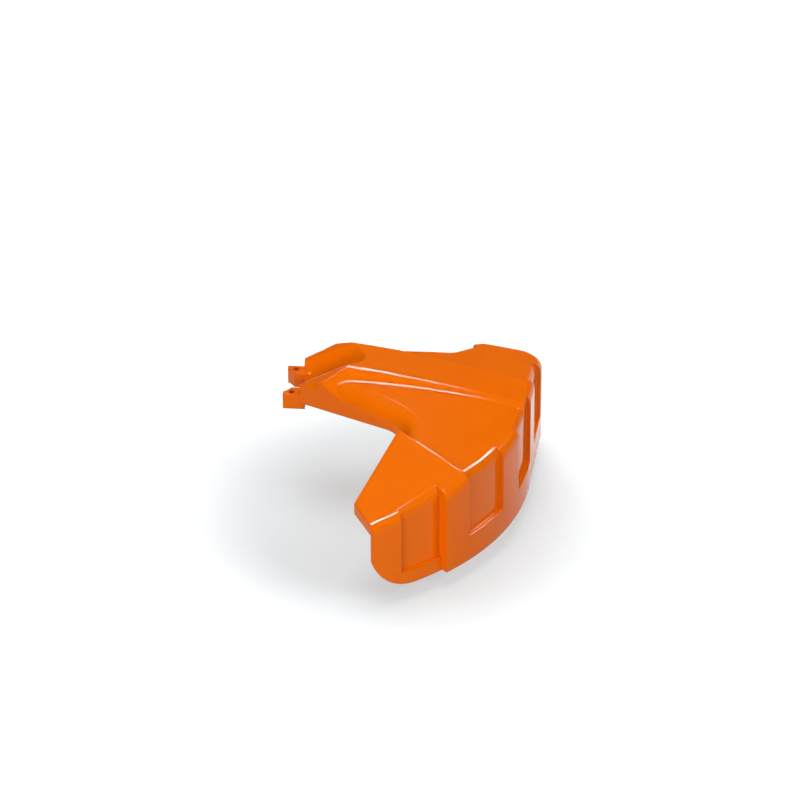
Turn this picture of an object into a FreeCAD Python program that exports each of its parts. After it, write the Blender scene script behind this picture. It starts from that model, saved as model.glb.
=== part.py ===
"""Guard for a line-mowing head: one moulded shell with a steel line knife and its two screws.

The working frame has its origin on the spindle axis, with x outwards along the shaft, y to the far side
and z upwards.  The finished pieces are then placed so that the origin is the middle of the two mounting
holes, on the face of the lugs that rests on the gear head.
"""
import math
import os
import re

import FreeCAD
import Part
import Sketcher

Vector = FreeCAD.Vector
doc = FreeCAD.newDocument("trimmer_guard")
sheet = doc.addObject("Spreadsheet::Sheet", "Sizes")

SIZES = [
    ("wall", "3 mm", "thickness of the moulding"),
    ("skirt_radius", "226.5 mm", "outer face of the ribs, from the spindle axis"),
    ("panel_depth", "3.9 mm", "how far the panels lie behind the ribs"),
    ("end_depth", "6 mm", "how far the skirt lies behind the ribs at its near end"),
    ("knife_panel_depth", "9 mm", "how far the end panel lies behind the ribs"),
    ("skirt_bottom", "-63 mm", "height of the lower edge"),
    ("panel_bottom", "-39 mm", "height where the panels end"),
    ("knife_panel_bottom", "-50 mm", "height where the end panel ends"),
    ("rim_rounding", "10 mm", "rounding between top and skirt"),
    ("neck_rounding", "16 mm", "rounding along the neck"),
    ("far_neck_rounding", "7 mm", "rounding along the neck's far side"),
    ("roof_curve", "806 mm", "radius of the arched top along the shaft"),
    ("roof_centre", "22 mm", "where the arch is highest"),
    ("roof_peak", "49.6 mm", "height of the arch"),
    ("roof_fall", "0.11", "fall of the top to the near side"),
    ("far_fall", "0.155", "fall of the top to the far side"),
    ("strip_curve", "1083 mm", "radius of the raised strip's arched top"),
    ("strip_centre", "-61 mm", "where that arch would be highest"),
    ("strip_peak", "62.5 mm", "height of that arch"),
    ("strip_half", "20 mm", "half width of the raised strip"),
    ("strip_start", "46 mm", "inner end of the raised strip"),
    ("wing_height", "60.4 mm", "height of the wing's plane over the shaft"),
    ("wing_fall", "0.3017", "fall of the wing to the near side"),
    ("crease_angle", "35.8 deg", "where the top starts to drop over the near wing"),
    ("end_angle", "61.3 deg", "where the skirt ends on the near side"),
    ("end_rib", "42.8 deg", "where the last rib ends"),
    ("knife_panel_end", "53.6 deg", "where the end panel ends"),
    ("corner_x", "90 mm", "inner corner of the wing, outwards"),
    ("corner_y", "167.8 mm", "inner corner of the wing, to the near side"),
    ("end_turn", "54.6 deg", "direction of the wing's end edge"),
    ("notch_x", "126.2 mm", "hollow corner between neck and wing, outwards"),
    ("notch_y", "70.2 mm", "hollow corner between neck and wing, to the near side"),
    ("notch_rounding", "24 mm", "rounding of that hollow corner"),
    ("neck_start", "29.5 mm", "inner end of the neck"),
    ("neck_half", "24 mm", "half width of the neck at its inner end"),
    ("far_side", "93 mm", "the far end wall"),
    ("far_length", "38.5 mm", "length of the far end wall"),
    ("far_slant", "6 mm", "how much further the far end wall reaches at the rim"),
    ("far_rounding", "20 mm", "rounding of the skirt's far corner"),
    ("far_neck_reach", "100 mm", "bend of the neck's far edge, outwards"),
    ("far_neck_side", "36 mm", "that bend, to the far side"),
    ("far_neck_bend", "60 mm", "rounding of that bend"),
    ("far_hollow_inset", "74.5 mm", "hollow bend of the far edge, in from the ribs"),
    ("far_hollow_side", "54 mm", "that hollow bend, to the far side"),
    ("far_hollow_bend", "15 mm", "rounding of that hollow bend"),
    ("far_turn_inset", "58.5 mm", "turn to the far end wall, in from the ribs"),
    ("far_turn_side", "75 mm", "that turn, to the far side"),
    ("far_flare", "5.5 mm", "how far the far wall leans outwards"),
    ("shaft_rise", "34 deg", "slope of the shaft"),
    ("shaft_height", "21.4 mm", "height of the shaft's axis at the spindle"),
    ("socket_radius", "21 mm", "trough for the shaft's socket"),
    ("chamfer_height", "43.5 mm", "height of the slanted inner end, 48 mm out from the spindle"),
    ("chamfer_rise", "0.5", "slope of that inner end"),
    ("housing_radius", "24.5 mm", "gear housing between the lugs"),
    ("seat_height", "12 mm", "underside of the lugs"),
    ("lug_top", "26 mm", "top of the lugs"),
    ("lug_outside", "24 mm", "outer face of the lugs"),
    ("lug_start", "15 mm", "inner end of the lugs"),
    ("lug_end", "34 mm", "outer end of the lugs, inside the neck"),
    ("hole_reach", "22 mm", "mounting holes, from the spindle axis"),
    ("hole_side", "19.2 mm", "mounting holes, from the shaft's plane"),
    ("hole_radius", "2.75 mm", "mounting holes"),
    ("neck_edge", "18 mm", "lower edge of the neck's side walls"),
    ("lip_depth", "10 mm", "depth of the lip along the wing"),
    ("end_rounding", "42 mm", "rounding of the skirt's lower near corner"),
    ("knife_angle", "48.6 deg", "middle of the knife's pad"),
    ("knife_height", "-31 mm", "middle of the knife, level with the line"),
    ("pad_inset", "17 mm", "how far the knife's seat lies inside the ribs"),
    ("pad_width", "30 mm", "width of the pad"),
    ("pad_tall", "24 mm", "height of the pad"),
    ("blade", "1.5 mm", "thickness of the knife"),
    ("blade_reach", "14 mm", "how far the knife stands in from its pad"),
    ("blade_tall", "20 mm", "height of the knife"),
    ("screw_gap", "14 mm", "distance between the knife's screws"),
    ("screw_radius", "1.45 mm", "shank of the knife's screws"),
    ("screw_long", "5.5 mm", "length of the shank in the pad"),
    ("pilot_radius", "1.5 mm", "holes for these screws"),
    ("screw_head", "3.4 mm", "radius of the screw heads"),
    ("screw_head_tall", "2.2 mm", "height of the screw heads"),
]
# Side panels between the ribs, with the angles where they start and stop, counted to the near side
PANELS = [
    ("first", "2 deg", "14.2 deg"),
    ("second", "23 deg", "crease_angle + 2 deg"),
    ("far", "-16.5 deg", "-5.5 deg"),
]
NAMES = [entry[0] for entry in SIZES]
for row, (alias, value, note) in enumerate(SIZES, start=1):
    sheet.set("A%d" % row, alias)
    sheet.set("B%d" % row, "=" + value)
    sheet.set("C%d" % row, note)
    sheet.setAlias("B%d" % row, alias)
doc.recompute()


def bound(text):
    """An expression on the sheet's names, as other objects write it."""
    return re.sub(r"\b(%s)\b" % "|".join(NAMES), r"Sizes.\1", text)


def size(text):
    """The present value of such an expression."""
    sheet.set("Z1", "=" + text)
    sheet.recompute()
    value = sheet.get("Z1")
    return float(getattr(value, "Value", value))


def bind(thing, **paths):
    for path, text in paths.items():
        thing.setExpression(path.replace("__", "."), bound(text))
    return thing


FLAT = FreeCAD.Rotation()
UPRIGHT = FreeCAD.Rotation(Vector(1, 0, 0), 90)
ACROSS = FreeCAD.Rotation(Vector(1, 1, 1), 120)


def profile(name, turn, corners, bow=None):
    """A closed sketch of straight sides.  A corner is (across, up) or (across, up, rounding).

    One side may be a bow (side, centre across, centre up, radius).  A corner at an end of the bow leaves
    out one coordinate, which the bow then sets."""
    sketch = doc.addObject("Sketcher::SketchObject", name)
    sketch.Placement = FreeCAD.Placement(Vector(), turn)
    count = len(corners)
    spots = []
    for corner in corners:
        spot = [None if text is None else size(text) for text in corner[:2]]
        if None in spot:
            middle = (size(bow[1]), size(bow[2]))
            reach = size(bow[3])
            missing = spot.index(None)
            other = 1 - missing
            spot[missing] = middle[missing] + math.sqrt(reach ** 2 - (spot[other] - middle[other]) ** 2)
        spots.append(Vector(spot[0], spot[1], 0))
    begins = list(spots)
    ends = list(spots)
    arcs = {}
    for number, corner in enumerate(corners):
        if len(corner) < 3:
            continue
        spot = spots[number]
        back = (spots[number - 1] - spot).normalize()
        ahead = (spots[(number + 1) % count] - spot).normalize()
        half = back.getAngle(ahead) / 2
        radius = size(corner[2])
        ends[number] = spot + back * (radius / math.tan(half))
        begins[number] = spot + ahead * (radius / math.tan(half))
        centre = spot + (back + ahead).normalize() * (radius / math.sin(half))
        left = back.cross(ahead).z < 0
        arcs[number] = (centre, radius, left)

    def arc(centre, radius, here, there):
        first = math.atan2(here.y - centre.y, here.x - centre.x)
        last = math.atan2(there.y - centre.y, there.x - centre.x)
        return Part.ArcOfCircle(Part.Circle(centre, Vector(0, 0, 1), radius), first, last)

    grips = []
    for side in range(count):
        here, there = begins[side], ends[(side + 1) % count]
        if bow and side == bow[0]:
            centre = Vector(middle[0], middle[1], 0)
            forward = (here - centre).cross(there - centre).z > 0
            piece = arc(centre, reach, here, there) if forward else arc(centre, reach, there, here)
            sketch.addGeometry(piece, False)
            grips.append((1, 2) if forward else (2, 1))
        else:
            sketch.addGeometry(Part.LineSegment(here, there), False)
            grips.append((1, 2))

    def measure(kind, text, *where):
        number = sketch.addConstraint(Sketcher.Constraint(kind, *where, size(text)))
        sketch.setExpression("Constraints[%d]" % number, bound(text))

    def fix(texts, geometry, grip):
        for kind, text in zip(("DistanceX", "DistanceY"), texts):
            if text is not None:
                measure(kind, text, -1, 1, geometry, grip)

    for number, corner in enumerate(corners):
        before = (number - 1) % count
        if number not in arcs:
            joint = (before, grips[before][1], number, grips[number][0])
            sketch.addConstraint(Sketcher.Constraint("Coincident", *joint))
            fix(corner[:2], number, grips[number][0])
            continue
        centre, radius, left = arcs[number]
        start, stop = (ends[number], begins[number]) if left else (begins[number], ends[number])
        piece = sketch.addGeometry(arc(centre, radius, start, stop), False)
        point = sketch.addGeometry(Part.Point(spots[number]), True)
        first, last = (1, 2) if left else (2, 1)
        sketch.addConstraint(Sketcher.Constraint("Tangent", before, grips[before][1], piece, first))
        sketch.addConstraint(Sketcher.Constraint("Tangent", number, grips[number][0], piece, last))
        sketch.addConstraint(Sketcher.Constraint("PointOnObject", point, 1, before))
        sketch.addConstraint(Sketcher.Constraint("PointOnObject", point, 1, number))
        fix(corner[:2], point, 1)
        measure("Radius", corner[2], piece)
    if bow:
        fix(bow[1:3], bow[0], 3)
        measure("Radius", bow[3], bow[0])
    return sketch


def extrude(name, sketch, way, length):
    solid = doc.addObject("Part::Extrusion", name)
    solid.Base = sketch
    solid.DirMode = "Custom"
    solid.Dir = Vector(*[size(part) for part in way])
    bind(solid, LengthFwd=length, Dir__x=way[0], Dir__y=way[1], Dir__z=way[2])
    solid.Solid = True
    return solid


def join(name, things):
    result = doc.addObject("Part::MultiFuse", name)
    result.Shapes = things
    return result


def overlap(name, things):
    result = doc.addObject("Part::MultiCommon", name)
    result.Shapes = things
    return result


def minus(name, base, tool):
    result = doc.addObject("Part::Cut", name)
    result.Base = base
    result.Tool = tool
    return result


def round_edges(name, base, choose):
    """Round the edges for which choose(edge) gives a radius or a pair of radii."""
    base.recompute(True)
    result = doc.addObject("Part::Fillet", name)
    result.Base = base
    edges = []
    for number, edge in enumerate(base.Shape.Edges, start=1):
        radius = choose(edge)
        if radius:
            first, last = radius if isinstance(radius, tuple) else (radius, radius)
            edges.append((number, first, last))
    result.Edges = edges
    return result


def middle_of(edge):
    return edge.valueAt((edge.FirstParameter + edge.LastParameter) / 2)


def is_upright(edge):
    box = edge.BoundBox
    return box.XLength < 0.01 and box.YLength < 0.01


def plan_of(name, level, inset):
    """The outline seen from above, with the skirt set back by a level."""
    reach = "skirt_radius - %s" % level
    dot = "(corner_x * cos(end_turn) + corner_y * sin(end_turn))"
    run = "(sqrt(%s ^ 2 - corner_x ^ 2 - corner_y ^ 2 + (%s) ^ 2) - %s)" % (dot, reach, dot)
    corners = [
        (None, "-(corner_y + %s * sin(end_turn))" % run),
        ("corner_x", "-corner_y"),
        ("notch_x", "-notch_y", "notch_rounding"),
        ("neck_start", "-neck_half"),
        ("neck_start", "neck_half"),
        ("far_neck_reach", "far_neck_side", "far_neck_bend"),
        ("skirt_radius - far_hollow_inset", "far_hollow_side", "far_hollow_bend"),
        ("skirt_radius - far_turn_inset", "far_turn_side"),
        ("skirt_radius - far_length", "far_side"),
        (reach + " + far_flare", "far_side + far_slant", "far_rounding"),
        (None, "0 mm"),
    ]
    sketch = profile(name + "_plan", FLAT, corners, (10, "0 mm", "0 mm", reach))
    bind(sketch, Placement__Base__z="skirt_bottom - 2 * (%s)" % inset)
    if inset == "0 mm":
        return sketch
    face = doc.addObject("Part::Face", name + "_plan_face")
    face.Sources = [sketch]
    smaller = doc.addObject("Part::Offset2D", name + "_plan_inside")
    smaller.Source = face
    smaller.Mode = "Skin"
    smaller.Join = "Intersection"
    bind(smaller, Value="-(%s)" % inset)
    return smaller


def roofs_of(name, inset, lift):
    """The spaces under the arched top, which falls to each side."""
    arch = profile(name + "_arch", UPRIGHT, [
        ("-20 mm", "-120 mm"), ("260 mm", "-120 mm"), ("260 mm", None), ("-20 mm", None),
    ], (2, "roof_centre", "roof_peak - roof_curve - (%s) + %s" % (inset, lift), "roof_curve"))
    near = extrude(name + "_near_roof", arch, ("0", "-1", "-roof_fall"), "300 mm")
    far = extrude(name + "_far_roof", arch, ("0", "1", "-far_fall"), "150 mm")
    return near, far


def box(name, x, y, z, lengths):
    block = doc.addObject("Part::Box", name)
    bind(block, Length=lengths[0], Width=lengths[1], Height=lengths[2])
    bind(block, Placement__Base__x=x, Placement__Base__y=y, Placement__Base__z=z)
    return block


def sector(name, start, stop, bottom, height):
    """A wedge about the spindle, from one angle to another, counted to the near side."""
    wedge = doc.addObject("Part::Cylinder", name)
    wedge.Placement = FreeCAD.Placement(Vector(), FreeCAD.Rotation(Vector(0, 0, 1), 1))
    bind(wedge, Radius="skirt_radius + 40 mm", Height=height, Angle="%s - (%s)" % (stop, start))
    bind(wedge, Placement__Base__z=bottom, Placement__Rotation__Angle="-(%s)" % stop)
    return wedge


def neck_side(name):
    """The space round the neck, short of the wing."""
    return box(name + "_neck_side", "-50 mm", "-75 mm", "-200 mm", ("130 mm", "80 mm", "400 mm"))


def wing_of(name, level, inset, lift, start):
    """The near wing from an angle on: its dropping top and a skirt set back by a level."""
    plan = plan_of(name, level, inset)
    prism = extrude(name + "_prism", plan, ("0", "0", "1"), "150 mm")
    drop = "wing_height - (%s) + %s" % (inset, lift)
    slope = profile(name + "_slope", ACROSS, [
        ("-300 mm", "-200 mm"), ("0 mm", "-200 mm"),
        ("0 mm", drop), ("-300 mm", drop + " - 300 mm * wing_fall"),
    ])
    roof = extrude(name + "_roof", slope, ("1", "0", "0"), "300 mm")
    edge_of_skirt = size("skirt_radius - (%s) - (%s)" % (level, inset))
    rim = size("rim_rounding - (%s)" % inset)

    def rim_radius(edge):
        spot = middle_of(edge)
        if is_upright(edge) or spot.z < -30:
            return None
        return rim if abs(math.hypot(spot.x, spot.y) - edge_of_skirt) < 0.2 else None

    whole_sector = sector(name + "_sector", start, "80 deg", "-200 mm", "400 mm")
    reach = minus(name + "_reach", whole_sector, neck_side(name))
    under = overlap(name + "_under", [prism, roof, reach])
    return round_edges(name, under, rim_radius)


def form_of(name, level, inset, lift, stop):
    """The solid up to an angle, inside a skirt set back by a level, every face moved in by an inset."""
    plan = plan_of(name, level, inset)
    prism = extrude(name + "_prism", plan, ("0", "0", "1"), "150 mm")
    step = size(inset)
    edge_of_skirt = size("skirt_radius - (%s) - (%s)" % (level, inset))

    def top_radius(edge):
        spot = middle_of(edge)
        if is_upright(edge) or spot.z < -30 or abs(spot.y) < 0.1 or edge.BoundBox.ZLength > 40:
            return None
        rim = size("rim_rounding") - step
        neck = size("neck_rounding") - step
        if spot.y < 0:
            if abs(math.hypot(spot.x, spot.y) - edge_of_skirt) < 0.2:
                return rim
            if level == "0 mm" and 40 < spot.x < 110 and spot.y > -62:
                return neck
            return None
        if spot.x > edge_of_skirt - 20 or spot.y > size("far_side") - step - 0.1:
            return rim
        along_neck = size("neck_start") + 10.5 < spot.x < size("skirt_radius - far_hollow_inset") - 7
        if level == "0 mm" and along_neck:
            return size("far_neck_rounding") - step
        return None

    near_roof, far_roof = roofs_of(name, inset, lift)
    whole_sector = sector(name + "_sector", "-1 deg", stop, "-200 mm", "400 mm")
    reach = join(name + "_reach", [whole_sector, neck_side(name)])
    near = overlap(name + "_near_under", [prism, near_roof, reach])
    far = overlap(name + "_far_under", [prism, far_roof])
    near_round = round_edges(name + "_near", near, top_radius)
    far_round = round_edges(name + "_far", far, top_radius)
    return join(name, [near_round, far_round])


def rod(name, radius, length, spot, axis, angle):
    bar = doc.addObject("Part::Cylinder", name)
    bar.Placement = FreeCAD.Placement(Vector(), FreeCAD.Rotation(Vector(*axis), 1))
    bind(bar, Radius=radius, Height=length)
    bind(bar, Placement__Base__x=spot[0], Placement__Base__y=spot[1], Placement__Base__z=spot[2])
    bind(bar, Placement__Rotation__Angle=angle)
    return bar


def strip_of(name, level, inset, lift, plan_prism):
    """The raised strip along the shaft, its sides at 45 degrees, inside a skirt set back by a level.

    Its rim is rounded on the ribs only."""
    half = "strip_half - 0.414 * (%s)" % inset
    pieces = []
    for tag, place, way, length in (
        ("top", "-(%s)" % half, ("0", "1", "0"), "2 * (%s)" % half),
        ("near", "-(%s)" % half, ("0", "-1", "-1"), "30 mm"),
        ("far", half, ("0", "1", "-1"), "30 mm"),
    ):
        arch = profile("%s_%s_arch" % (name, tag), UPRIGHT, [
            ("strip_start + %s" % inset, "-120 mm"), ("260 mm", "-120 mm"),
            ("260 mm", None), ("strip_start + %s" % inset, None),
        ], (2, "strip_centre", "strip_peak - strip_curve - (%s) + %s" % (inset, lift), "strip_curve"))
        bind(arch, Placement__Base__y=place)
        pieces.append(extrude("%s_%s" % (name, tag), arch, way, length))
    whole = join(name + "_whole", pieces)
    whole.Refine = True
    under = overlap(name + "_under", [whole, plan_prism])
    reach = size("skirt_radius - (%s) - (%s)" % (level, inset))

    def radius_of(edge):
        spot = middle_of(edge)
        if is_upright(edge) or spot.z < 5:
            return None
        on_rim = abs(math.hypot(spot.x, min(spot.y, 0)) - reach) < 0.2
        return size("rim_rounding - (%s)" % inset) if on_rim else None

    return round_edges(name, under, radius_of) if level == "0 mm" else under


def body_of(name, inset):
    """The moulding's outer body, or with an inset the space inside it."""
    grow = "0.25 deg / 1 mm * (%s)" % inset
    crease = "(crease_angle + %s)" % grow
    full = form_of(name + "_full", "0 mm", inset, "0 mm", crease)
    panel = form_of(name + "_panel", "panel_depth", inset, "0.15 mm", "crease_angle + 3 deg")
    strip = strip_of(name + "_strip", "0 mm", inset, "0 mm", doc.getObject(name + "_full_prism"))
    panel_strip = strip_of(name + "_panel_strip", "panel_depth", inset, "0.15 mm",
                           doc.getObject(name + "_panel_prism"))
    behind = join(name + "_behind_panels", [panel, panel_strip])
    wedges = []
    for tag, start, stop in PANELS:
        begin = "%s - %s" % (start, grow)
        end = "(%s + %s)" % (stop, grow)
        low = "panel_bottom - (%s)" % inset
        wedges.append(sector("%s_%s_wedge" % (name, tag), begin, end, low, "150 mm"))
    panel_tool = minus(name + "_panel_tool", join(name + "_wedges", wedges), behind)
    main = minus(name + "_main", join(name + "_main_whole", [full, strip]), panel_tool)

    wing_full = wing_of(name + "_wing_full", "0 mm", inset, "0 mm", crease)
    past = "crease_angle + 3 deg"
    wing_panel = wing_of(name + "_wing_panel", "end_depth", inset, "0.15 mm", past)
    wing_knife = wing_of(name + "_wing_knife", "knife_panel_depth", inset, "0.15 mm", past)
    end_wedge = sector(name + "_end_wedge", "end_rib - %s" % grow, "75 deg", "-150 mm", "300 mm")
    end_tool = minus(name + "_end_tool", end_wedge, wing_panel)
    knife_wedge = sector(name + "_knife_wedge", "end_rib - %s" % grow, "(knife_panel_end + %s)" % grow,
                         "knife_panel_bottom - (%s)" % inset, "150 mm")
    knife_tool = minus(name + "_knife_tool", knife_wedge, wing_knife)
    wing = minus(name + "_wing", minus(name + "_wing_panelled", wing_full, end_tool), knife_tool)
    trough = rod(name + "_trough", "socket_radius + %s" % inset, "200 mm", ("0 mm", "0 mm", "shaft_height"),
                 (0, 1, 0), "90 deg - shaft_rise")
    low = "chamfer_height - 1.12 * (%s)" % inset
    slant = profile(name + "_slant", UPRIGHT, [
        ("10 mm", low + " - 38 mm * chamfer_rise"), ("90 mm", low + " + 42 mm * chamfer_rise"),
        ("90 mm", "150 mm"), ("10 mm", "150 mm"),
    ])
    bind(slant, Placement__Base__y="150 mm")
    chamfer = extrude(name + "_chamfer", slant, ("0", "-1", "0"), "300 mm")
    ribbed = join(name + "_ribbed", [main, wing])
    return minus(name, minus(name + "_chamfered", ribbed, chamfer), trough)


outer = body_of("outer", "0 mm")
inner = body_of("inner", "wall")
shell = minus("shell", outer, inner)

lower = profile("undercut_profile", ACROSS, [
    ("-300 mm", "-150 mm"), ("far_side - wall - 0.5 mm", "-150 mm"),
    ("far_side - wall - 0.5 mm", "neck_edge - 12 mm"), ("45 mm", "neck_edge"),
    ("(neck_edge + lip_depth - wing_height) / wing_fall", "neck_edge"),
    ("-300 mm", "wing_height - lip_depth - 300 mm * wing_fall"),
])
end_drum = overlap("end_drum", [
    sector("end_reach", "56 deg", "75 deg", "-150 mm", "300 mm"),
    rod("end_rod", "skirt_radius - end_depth - wall - 0.2 mm", "300 mm", ("0 mm", "0 mm", "-150 mm"),
        (0, 0, 1), "0 deg"),
])
main_drum = rod("main_drum", "skirt_radius - knife_panel_depth - wall - 1 mm", "300 mm",
                ("0 mm", "0 mm", "-150 mm"), (0, 0, 1), "0 deg")
undercut = overlap("undercut", [
    extrude("undercut_block", lower, ("1", "0", "0"), "260 mm"),
    join("undercut_drums", [main_drum, end_drum]),
])
trimmed = minus("trimmed", shell, undercut)

corner = minus("corner", box("corner_block", "120 mm", "-30 mm", "skirt_bottom - 30 mm", (
    "200 mm", "30 mm + end_rounding", "30 mm + end_rounding")), rod(
    "corner_drum", "end_rounding", "300 mm", ("100 mm", "end_rounding", "skirt_bottom + end_rounding"),
    (0, 1, 0), "90 deg"))
corner.Placement = FreeCAD.Placement(Vector(), FreeCAD.Rotation(Vector(0, 0, 1), 1))
bind(corner, Placement__Rotation__Angle="-end_angle")
rounded = minus("rounded", trimmed, corner)

near_lug = box("near_lug", "lug_start", "-lug_outside", "seat_height", (
    "lug_end - lug_start", "lug_outside - 12 mm", "lug_top - seat_height"))
far_lug = box("far_lug", "lug_start", "12 mm", "seat_height", (
    "lug_end - lug_start", "lug_outside - 12 mm", "lug_top - seat_height"))
housing = rod("housing", "housing_radius", "100 mm", ("0 mm", "0 mm", "-20 mm"), (0, 0, 1), "0 deg")
lugs = minus("lugs", join("lugs_whole", [near_lug, far_lug]), housing)


def turned(thing):
    """Turn a thing made on the x axis to the knife's place on the skirt."""
    thing.Placement = FreeCAD.Placement(Vector(), FreeCAD.Rotation(Vector(0, 0, 1), 1))
    return bind(thing, Placement__Rotation__Angle="-knife_angle")


def seated(thing, label):
    """Put a finished piece in the part's own frame."""
    thing.Label = label
    return bind(thing, Placement__Base__x="-hole_reach", Placement__Base__z="-seat_height")


def pins(name, radius, start, length):
    """Two rods through the knife's screw places."""
    rods = []
    for tag, along in (("near", "-screw_gap / 2"), ("far", "screw_gap / 2")):
        spot = (start, along, "knife_height")
        rods.append(rod("%s_%s" % (name, tag), radius, length, spot, (0, 1, 0), "90 deg"))
    return rods


# The knife's seat, counted from the spindle axis
SEAT = "(skirt_radius - pad_inset)"

pad_block = box("pad_block", SEAT, "-pad_width / 2", "knife_height - pad_tall / 2", (
    "skirt_radius - knife_panel_depth - wall / 2 - " + SEAT, "pad_width", "pad_tall"))
pad_core = box("pad_core", SEAT + " + 1 mm", "-pad_width / 4", "knife_height - pad_tall / 4", (
    "wall", "pad_width / 2", "pad_tall / 2"))
pad = turned(join("pad", [pad_block, pad_core]))
solid = join("solid", [rounded, lugs, pad])
pilots = turned(join("pilots", pins("pilot", "pilot_radius", SEAT + " - 1 mm", "screw_long + 1.5 mm")))
holes = join("holes", [
    rod("near_hole", "hole_radius", "60 mm", ("hole_reach", "-hole_side", "0 mm"), (0, 0, 1), "0 deg"),
    rod("far_hole", "hole_radius", "60 mm", ("hole_reach", "hole_side", "0 mm"), (0, 0, 1), "0 deg"),
    pilots,
])
guard_shell = seated(minus("guard_shell", solid, holes), "guard_shell")

bent = profile("knife_profile", FLAT, [
    (SEAT, "pad_width / 2 - 1 mm"),
    (SEAT + " - blade", "pad_width / 2 - 1 mm"),
    (SEAT + " - blade", "1 mm - pad_width / 2", "1 mm"),
    (SEAT + " - blade_reach + 3 mm", "1 mm - pad_width / 2"),
    (SEAT + " - blade_reach", "1 mm - pad_width / 2 - blade"),
    (SEAT, "1 mm - pad_width / 2 - blade", "2.5 mm"),
])
bind(bent, Placement__Base__z="knife_height - blade_tall / 2")
strip_steel = extrude("knife_strip", bent, ("0", "0", "1"), "blade_tall")
punched = pins("knife_hole", "screw_radius + 0.15 mm", SEAT + " - blade - 5 mm", "10 mm")
knife_holes = join("knife_holes", punched)
line_knife = seated(turned(minus("line_knife", strip_steel, knife_holes)), "line_knife")

shanks = pins("shank", "screw_radius", SEAT + " - blade - 0.5 mm", "screw_long + blade + 0.5 mm")
heads = pins("head", "screw_head", SEAT + " - blade - screw_head_tall", "screw_head_tall")
slots = []
for tag, along in (("near", "-screw_gap / 2"), ("far", "screw_gap / 2")):
    slots.append(box("slot_" + tag, SEAT + " - blade - screw_head_tall - 1 mm", along + " - 0.5 mm",
                     "knife_height - screw_head", ("2 mm", "1 mm", "2 * screw_head")))
screws = minus("knife_screws", join("screws_whole", shanks + heads), join("slots", slots))
knife_screws = seated(turned(screws), "knife_screws")
sheet.clear("Z1")
doc.recompute()

for thing in doc.Objects:
    if "Invalid" in thing.State or "Error" in thing.State:
        raise SystemExit("%s did not build: %s" % (thing.Name, thing.getStatusString()))
    if hasattr(thing, "Shape") and (thing.Shape.isNull() or not thing.Shape.isValid()):
        raise SystemExit("%s has no sound shape" % thing.Name)

os.makedirs("parts", exist_ok=True)
for piece in (guard_shell, line_knife, knife_screws):
    piece.Shape.exportStep("parts/%s.step" % piece.Label)
    print(piece.Label, len(piece.Shape.Solids), round(piece.Shape.Volume, 1), "cubic mm")
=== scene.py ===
"""Looks of the trimmer blade guard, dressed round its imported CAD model.

The guard hangs in the air, just clear of a pale floor.  The file is laid out as an add-on and run as a
script: the operators dress the moulded shell, the line knife and its screws, and then set the stage.
"""
import math

import bpy
import numpy as np
from mathutils import Matrix, Vector


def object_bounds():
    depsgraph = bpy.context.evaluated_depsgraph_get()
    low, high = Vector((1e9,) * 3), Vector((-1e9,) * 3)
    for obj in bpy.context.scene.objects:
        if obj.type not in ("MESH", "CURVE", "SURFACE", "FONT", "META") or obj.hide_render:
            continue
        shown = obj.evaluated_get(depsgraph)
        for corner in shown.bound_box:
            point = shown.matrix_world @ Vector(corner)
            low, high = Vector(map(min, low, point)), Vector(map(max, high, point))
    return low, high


bl_info = {
    "name": "Trimmer blade guard looks",
    "version": (1, 0, 0),
    "blender": (4, 5, 0),
    "location": "3D View > Sidebar > Guard",
    "description": "Dresses the moulded guard, its line knife and screws, and sets the stage",
    "category": "Object",
}

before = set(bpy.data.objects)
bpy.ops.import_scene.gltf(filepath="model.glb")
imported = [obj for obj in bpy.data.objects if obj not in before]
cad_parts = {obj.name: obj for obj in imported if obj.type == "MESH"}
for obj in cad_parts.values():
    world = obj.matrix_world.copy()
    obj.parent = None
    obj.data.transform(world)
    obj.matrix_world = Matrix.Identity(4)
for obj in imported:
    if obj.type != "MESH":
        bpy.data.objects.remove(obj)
cad_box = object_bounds()

# The point under the middle of the top that every light faces, in metres
LIT_POINT = Vector((0.08, -0.02, 0))
# Width of the camera's sensor, in millimetres
SENSOR_WIDTH = 36


def linear(hex_colour):
    """Turn an sRGB hex colour into linear red, green, blue and alpha."""
    parts = [int(hex_colour[i:i + 2], 16) / 255 for i in (1, 3, 5)]
    curved = [c / 12.92 if c <= 0.04045 else ((c + 0.055) / 1.055) ** 2.4 for c in parts]
    return (*curved, 1.0)


# Settings

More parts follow.
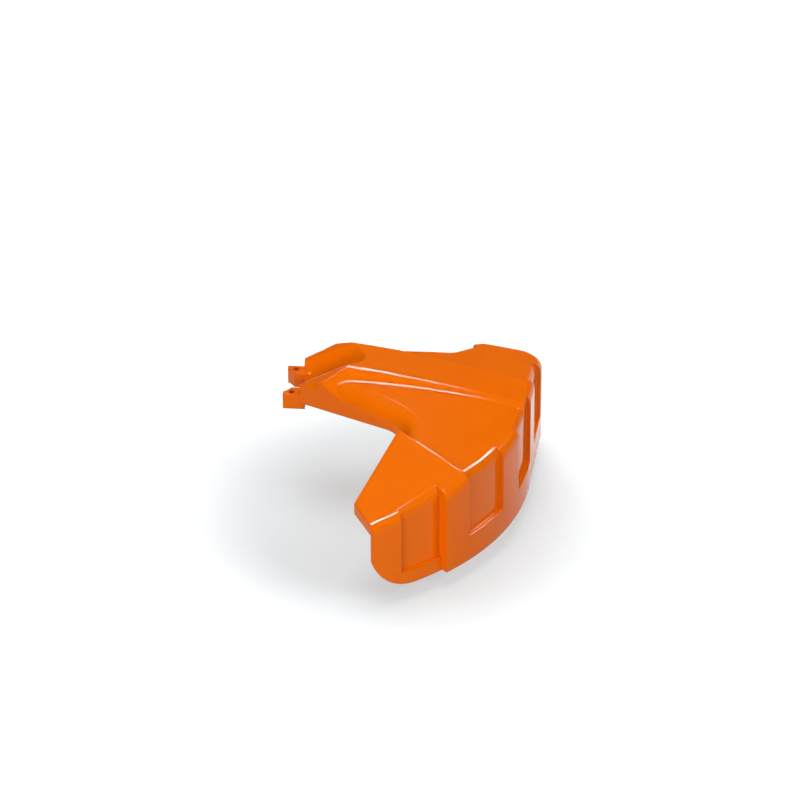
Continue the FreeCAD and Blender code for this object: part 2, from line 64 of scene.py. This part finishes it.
class GuardPlastic(bpy.types.PropertyGroup):
    """Sizes and colours of the moulded shell's finish."""
    orange: bpy.props.FloatVectorProperty(
        name="Orange", description="Colour of the moulding", subtype="COLOR", size=4, min=0, max=1,
        default=linear("#F37200"))
    deep_orange: bpy.props.FloatVectorProperty(
        name="Deep orange", description="Slightly deeper colour where the melt flowed last",
        subtype="COLOR", size=4, min=0, max=1, default=linear("#F06A00"))
    edge_rounding: bpy.props.FloatProperty(
        name="Edge rounding", description="Small radius that the mould leaves on every edge",
        default=0.0026, min=0, max=0.005, unit="LENGTH")
    grain: bpy.props.FloatProperty(
        name="Skin grain", description="Size of the fine unevenness of the moulded skin",
        default=0.0012, min=0.0001, max=0.01, unit="LENGTH")
    grain_height: bpy.props.FloatProperty(
        name="Grain height", description="Height of the fine unevenness of the moulded skin",
        default=0.00008, min=0, max=0.001, precision=5, unit="LENGTH")
    flow: bpy.props.FloatProperty(
        name="Flow marks", description="Length of the faint waves left by the melt",
        default=0.045, min=0.001, max=0.2, unit="LENGTH")
    flow_height: bpy.props.FloatProperty(
        name="Flow mark height", description="Height of the faint waves left by the melt",
        default=0.0006, min=0, max=0.005, precision=4, unit="LENGTH")
    roughness: bpy.props.FloatProperty(
        name="Roughness", description="Roughness of the glossy skin", default=0.09, min=0, max=1)
    gloss_index: bpy.props.FloatProperty(
        name="Gloss", description="Index of refraction, which sets how strongly the skin reflects",
        default=1.19, min=1, max=2)


class GuardSteel(bpy.types.PropertyGroup):
    """Sizes and colours of the knife and its screws."""
    steel: bpy.props.FloatVectorProperty(
        name="Knife steel", description="Colour of the rolled sheet", subtype="COLOR", size=4,
        min=0, max=1, default=linear("#B9BBBD"))
    plating: bpy.props.FloatVectorProperty(
        name="Screw plating", description="Colour of the zinc plating", subtype="COLOR", size=4,
        min=0, max=1, default=linear("#A9ACB0"))
    brush: bpy.props.FloatProperty(
        name="Rolling lines", description="Spacing of the lines left by the rolls",
        default=0.0004, min=0.00005, max=0.005, unit="LENGTH")
    rolling_turn: bpy.props.FloatProperty(
        name="Rolling direction", description="Angle of the rolling lines on the knife",
        default=math.radians(-41), subtype="ANGLE")
    edge_rounding: bpy.props.FloatProperty(
        name="Edge rounding", description="Radius of the deburred edges",
        default=0.00025, min=0, max=0.002, unit="LENGTH")


class GuardStage(bpy.types.PropertyGroup):
    """Camera, floor and surroundings."""
    turn: bpy.props.FloatProperty(
        name="Camera turn", description="Angle of the view round the guard", default=math.radians(5),
        subtype="ANGLE")
    rise: bpy.props.FloatProperty(
        name="Camera rise", description="Angle of the view above the floor", default=math.radians(31),
        subtype="ANGLE")
    distance: bpy.props.FloatProperty(
        name="Camera distance", description="Distance from the guard to the camera", default=4.5,
        unit="LENGTH")
    aim: bpy.props.FloatVectorProperty(
        name="Aim", description="Point in the middle of the picture", subtype="TRANSLATION",
        default=(0.09047, 0.01207, -0.00831))
    picture: bpy.props.FloatProperty(
        name="Picture width", description="Width that the picture takes in at the aim", default=0.688,
        unit="LENGTH")
    floor_gap: bpy.props.FloatProperty(
        name="Gap over the floor", description="Height of the skirt's lower edge over the floor",
        default=0.014, unit="LENGTH")
    floor_size: bpy.props.FloatProperty(
        name="Floor size", description="Length of each side of the floor", default=24, unit="LENGTH")
    floor: bpy.props.FloatVectorProperty(
        name="Floor", description="Colour of the floor", subtype="COLOR", size=4, min=0, max=1,
        default=linear("#B1B8BA"))
    # Reach of the floor's painted shadow: within these distances of the guard's middle the floor is painted
    # darker, as if shaded by the guard
    painted_shadow_start: bpy.props.FloatProperty(
        name="Shade start", description="Distance from the guard's middle where the floor starts to pale",
        default=0.12, unit="LENGTH")
    painted_shadow_end: bpy.props.FloatProperty(
        name="Shade end", description="Distance from the guard's middle where the floor is white",
        default=0.22, unit="LENGTH")
    # Whitening under the guard is weaker than far off: this is the painted shadow under the guard
    glow_in_painted_shadow: bpy.props.FloatProperty(
        name="Glow under the guard", description="Whitening of the floor under the guard", default=0.45)
    glow_far: bpy.props.FloatProperty(
        name="Glow far off", description="Whitening of the floor away from the guard", default=0.7)
    surroundings: bpy.props.FloatProperty(
        name="Surroundings", description="Strength of the dim light from all round", default=0.08)


# Shared helpers

def add_node(tree, kind, links=None, **settings):
    """Add a node: settings name its properties or inputs, links maps an input to another node's output."""
    node = tree.nodes.new(kind)
    for name, value in settings.items():
        if hasattr(node, name):
            setattr(node, name, value)
        else:
            node.inputs[name.replace("_", " ")].default_value = value
    for target, source in (links or {}).items():
        tree.links.new(source, node.inputs[target])
    return node


def new_material(name):
    """An empty node material and its tree."""
    material = bpy.data.materials.new(name)
    material.use_nodes = True
    tree = material.node_tree
    tree.nodes.clear()
    return material, tree


def finish_surface(tree, colour, roughness, normal):
    """Add the principled shader with its three maps, join it to the output and return it."""
    shader = add_node(tree, "ShaderNodeBsdfPrincipled",
                      {"Base Color": colour, "Roughness": roughness, "Normal": normal})
    add_node(tree, "ShaderNodeOutputMaterial", {"Surface": shader.outputs[0]})
    return shader


def mix_colours(tree, share, first, second):
    """Blend two colours by a share and give the output."""
    blend = add_node(tree, "ShaderNodeMix", {"Factor": share}, data_type="RGBA")
    blend.inputs[6].default_value = first
    blend.inputs[7].default_value = second
    return blend.outputs[2]


def dress(node_name, material):
    """Give a CAD node its finish."""
    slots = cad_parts[node_name].data.materials
    slots.clear()
    slots.append(material)


def moulded_plastic(settings):
    """Gloss moulded polyamide: an even strong orange with sharp reflections, faintly wavy from the melt's
    flow, with a very fine skin grain and small roundings on every edge that catch the light."""
    smoother, rougher = 0.015, 0.025
    material, tree = new_material("gloss_moulded_polyamide")
    place = add_node(tree, "ShaderNodeTexCoord").outputs["Object"]
    flow = add_node(tree, "ShaderNodeTexNoise", {"Vector": place}, Scale=1 / settings.flow, Detail=2.0)
    grain = add_node(tree, "ShaderNodeTexNoise", {"Vector": place}, Scale=1 / settings.grain, Detail=1.0)
    colour = mix_colours(tree, flow.outputs["Fac"], settings.orange, settings.deep_orange)
    rounded = add_node(tree, "ShaderNodeBevel", samples=8, Radius=settings.edge_rounding)
    waves = add_node(tree, "ShaderNodeBump",
                     {"Height": flow.outputs["Fac"], "Normal": rounded.outputs[0]},
                     Strength=0.12, Distance=settings.flow_height)
    skin = add_node(tree, "ShaderNodeBump",
                    {"Height": grain.outputs["Fac"], "Normal": waves.outputs[0]},
                    Strength=0.05, Distance=settings.grain_height)
    gloss = add_node(tree, "ShaderNodeMapRange", {"Value": grain.outputs["Fac"]},
                     To_Min=settings.roughness - smoother, To_Max=settings.roughness + rougher)
    shader = finish_surface(tree, colour, gloss.outputs[0], skin.outputs[0])
    shader.inputs["IOR"].default_value = settings.gloss_index
    return material


def drawn_steel(name, colour, brush, rounding, along):
    """Rolled or turned steel: grey metal with fine lines, darker in their grooves, and deburred edges.
    The lines are noise stretched along one direction."""
    stretch = 0.04
    groove = [c * 0.8 for c in colour[:3]] + [1]
    material, tree = new_material(name)
    place = add_node(tree, "ShaderNodeTexCoord").outputs["Object"]
    turned = add_node(tree, "ShaderNodeMapping", {"Vector": place},
                      Rotation=(0, 0, along), Scale=(stretch, 1, 1))
    lines = add_node(tree, "ShaderNodeTexNoise", {"Vector": turned.outputs[0]}, Scale=1 / brush, Detail=3.0)
    tint = mix_colours(tree, lines.outputs["Fac"], groove, colour)
    rounded = add_node(tree, "ShaderNodeBevel", samples=4, Radius=rounding)
    ridges = add_node(tree, "ShaderNodeBump",
                      {"Height": lines.outputs["Fac"], "Normal": rounded.outputs[0]},
                      Strength=0.2, Distance=0.00005)
    gloss = add_node(tree, "ShaderNodeMapRange", {"Value": lines.outputs["Fac"]}, To_Min=0.28, To_Max=0.42)
    shader = finish_surface(tree, tint, gloss.outputs[0], ridges.outputs[0])
    shader.inputs["Metallic"].default_value = 1.0
    return material


# Pieces

class GUARD_OT_dress_shell(bpy.types.Operator):
    """Give the moulded shell its glossy orange finish"""
    bl_idname = "guard.dress_shell"
    bl_label = "Dress the shell"

    def execute(self, context):
        dress("guard_shell", moulded_plastic(context.scene.guard_plastic))
        return {"FINISHED"}


class GUARD_OT_dress_knife(bpy.types.Operator):
    """Give the line knife its rolled steel finish"""
    bl_idname = "guard.dress_knife"
    bl_label = "Dress the line knife"

    def execute(self, context):
        steel = context.scene.guard_steel
        dress("line_knife", drawn_steel("rolled_knife_steel", list(steel.steel), steel.brush,
                                        steel.edge_rounding, steel.rolling_turn))
        return {"FINISHED"}


class GUARD_OT_dress_screws(bpy.types.Operator):
    """Give the knife's screws their plated finish"""
    bl_idname = "guard.dress_screws"
    bl_label = "Dress the knife screws"

    def execute(self, context):
        steel = context.scene.guard_steel
        dress("knife_screws", drawn_steel("zinc_plated_steel", list(steel.plating), steel.brush,
                                          steel.edge_rounding, 0.0))
        return {"FINISHED"}


# Stage

def paper_with_painted_shadow(stage):
    """Pale paper with a painted shadow: its whitening is weakest near the guard's middle and grows with the
    distance from it, so the floor is painted darker under the guard.  Only the light that it sends to the
    camera, to gloss and through clear things is whitened, so the white does not light the guard."""
    material, tree = new_material("paper_with_painted_shadow")
    paper = add_node(tree, "ShaderNodeBsdfDiffuse", Color=tuple(stage.floor))
    place = add_node(tree, "ShaderNodeTexCoord").outputs["Object"]
    away = add_node(tree, "ShaderNodeVectorMath", {0: place}, operation="LENGTH")
    # Painted shadow: less glow near the guard's middle, more far off
    painted_shadow_fade = add_node(tree, "ShaderNodeMapRange", {"Value": away.outputs["Value"]},
                    interpolation_type="SMOOTHSTEP", From_Min=stage.painted_shadow_start, From_Max=stage.painted_shadow_end,
                    To_Min=stage.glow_in_painted_shadow, To_Max=stage.glow_far)
    glow = add_node(tree, "ShaderNodeEmission", {"Strength": painted_shadow_fade.outputs[0]}, Color=(1, 1, 1, 1))
    whitened = add_node(tree, "ShaderNodeAddShader", {0: paper.outputs[0], 1: glow.outputs[0]})
    ray = add_node(tree, "ShaderNodeLightPath").outputs
    seen = add_node(tree, "ShaderNodeMath", {0: ray["Is Camera Ray"], 1: ray["Is Glossy Ray"]},
                    operation="MAXIMUM")
    shown = add_node(tree, "ShaderNodeMath", {0: seen.outputs[0], 1: ray["Is Transmission Ray"]},
                     operation="MAXIMUM")
    mixed = add_node(tree, "ShaderNodeMixShader",
                     {0: shown.outputs[0], 1: paper.outputs[0], 2: whitened.outputs[0]})
    add_node(tree, "ShaderNodeOutputMaterial", {"Surface": mixed.outputs[0]})
    return material


def add_floor(stage):
    """A flat square: its four corners are the unit square's, times half a side.  It stands under the middle
    of the guard, where its paper's painted shadow is centred."""
    corners = np.array([(-1, -1), (1, -1), (1, 1), (-1, 1)]) * stage.floor_size / 2
    points = np.column_stack([corners, np.zeros(4)])
    mesh = bpy.data.meshes.new("floor")
    mesh.from_pydata(points.tolist(), [], [(0, 1, 2, 3)])
    mesh.materials.append(paper_with_painted_shadow(stage))
    floor = bpy.data.objects.new("floor", mesh)
    middle = (cad_box[0] + cad_box[1]) / 2
    floor.location = (middle.x, middle.y, cad_box[0].z - stage.floor_gap)
    bpy.context.collection.objects.link(floor)


def add_surroundings(stage):
    """A dim even white all round."""
    world = bpy.data.worlds.new("dim_studio")
    world.use_nodes = True
    background = world.node_tree.nodes["Background"]
    background.inputs["Color"].default_value = (1, 1, 1, 1)
    background.inputs["Strength"].default_value = stage.surroundings
    bpy.context.scene.world = world


def add_light(name, spot, size, power, lit=True, mirrored=True):
    """A soft box that shines from a spot towards the guard.  It may leave out the even light that it spreads
    (lit) or its own image in gloss (mirrored)."""
    lamp = bpy.data.lights.new(name, "AREA")
    lamp.shape = "RECTANGLE"
    lamp.size, lamp.size_y = size
    lamp.energy = power
    holder = bpy.data.objects.new(name, lamp)
    way = (LIT_POINT - Vector(spot)).normalized()
    holder.matrix_world = Matrix.Translation(spot) @ way.to_track_quat("-Z", "Y").to_matrix().to_4x4()
    holder.visible_diffuse = lit
    holder.visible_glossy = mirrored
    bpy.context.collection.objects.link(holder)


def add_lights():
    """Four soft boxes spread even light and stay out of the gloss.  Three more show only in the gloss: they
    draw the bright lines on the strip's edges, on the crease and on the rim."""
    add_light("overhead_box", spot=(-0.1, 0.1, 2.4), size=(1.5, 1.5), power=28, mirrored=False)
    add_light("front_box", spot=(-0.9, -2.4, 0.35), size=(1.6, 0.8), power=36, mirrored=False)
    add_light("right_box", spot=(1.9, -0.9, 1.3), size=(1.2, 1.2), power=25, mirrored=False)
    add_light("back_box", spot=(-0.2, 2.2, 1.6), size=(1.6, 1.2), power=23, mirrored=False)
    add_light("strip_gloss", spot=(0.2, -0.42, 2.2), size=(1.0, 0.5), power=225, lit=False)
    add_light("crease_gloss", spot=(0.29, 1.3, 1.97), size=(0.24, 0.2), power=30, lit=False)
    add_light("rim_gloss", spot=(1.5, 1.05, 1.6), size=(0.36, 0.6), power=62, lit=False)


def add_camera(stage):
    """A camera that looks at the aim from its turn and rise, with a lens that takes in the picture."""
    sine, cosine = math.sin(stage.turn), math.cos(stage.turn)
    flat, high = math.cos(stage.rise), math.sin(stage.rise)
    back = Vector((sine * flat, -cosine * flat, high))
    right = Vector((cosine, sine, 0))
    up = back.cross(right)
    turned = Matrix((right, up, back)).transposed().to_4x4()
    camera = bpy.data.cameras.new("camera")
    camera.sensor_width = SENSOR_WIDTH
    camera.lens = SENSOR_WIDTH * stage.distance / stage.picture
    camera.clip_end = 100
    holder = bpy.data.objects.new("camera", camera)
    holder.matrix_world = Matrix.Translation(Vector(stage.aim) + back * stage.distance) @ turned
    bpy.context.collection.objects.link(holder)
    bpy.context.scene.camera = holder


class GUARD_OT_build_stage(bpy.types.Operator):
    """Add the pale floor, the soft lights and the camera"""
    bl_idname = "guard.build_stage"
    bl_label = "Build the stage"

    def execute(self, context):
        stage = context.scene.guard_stage
        add_floor(stage)
        add_surroundings(stage)
        add_lights()
        add_camera(stage)
        context.scene.view_settings.view_transform = "Standard"
        return {"FINISHED"}


class GUARD_PT_looks(bpy.types.Panel):
    """Lists the settings and the steps that dress the guard"""
    bl_idname = "GUARD_PT_looks"
    bl_label = "Blade guard"
    bl_space_type = "VIEW_3D"
    bl_region_type = "UI"
    bl_category = "Guard"

    def draw(self, context):
        for group_name, kind in SETTINGS.items():
            for name in kind.__annotations__:
                self.layout.prop(getattr(context.scene, group_name), name)
        for step in STEPS:
            self.layout.operator(step.bl_idname)


SETTINGS = {"guard_plastic": GuardPlastic, "guard_steel": GuardSteel, "guard_stage": GuardStage}
STEPS = (GUARD_OT_dress_shell, GUARD_OT_dress_knife, GUARD_OT_dress_screws, GUARD_OT_build_stage)
CLASSES = (*SETTINGS.values(), *STEPS, GUARD_PT_looks)


def register():
    for kind in CLASSES:
        bpy.utils.register_class(kind)
    for name, kind in SETTINGS.items():
        setattr(bpy.types.Scene, name, bpy.props.PointerProperty(type=kind))


def unregister():
    for name in SETTINGS:
        delattr(bpy.types.Scene, name)
    for kind in reversed(CLASSES):
        bpy.utils.unregister_class(kind)


def main():
    register()
    bpy.ops.guard.dress_shell()
    bpy.ops.guard.dress_knife()
    bpy.ops.guard.dress_screws()
    bpy.ops.guard.build_stage()


if __name__ == "__main__":
    main()
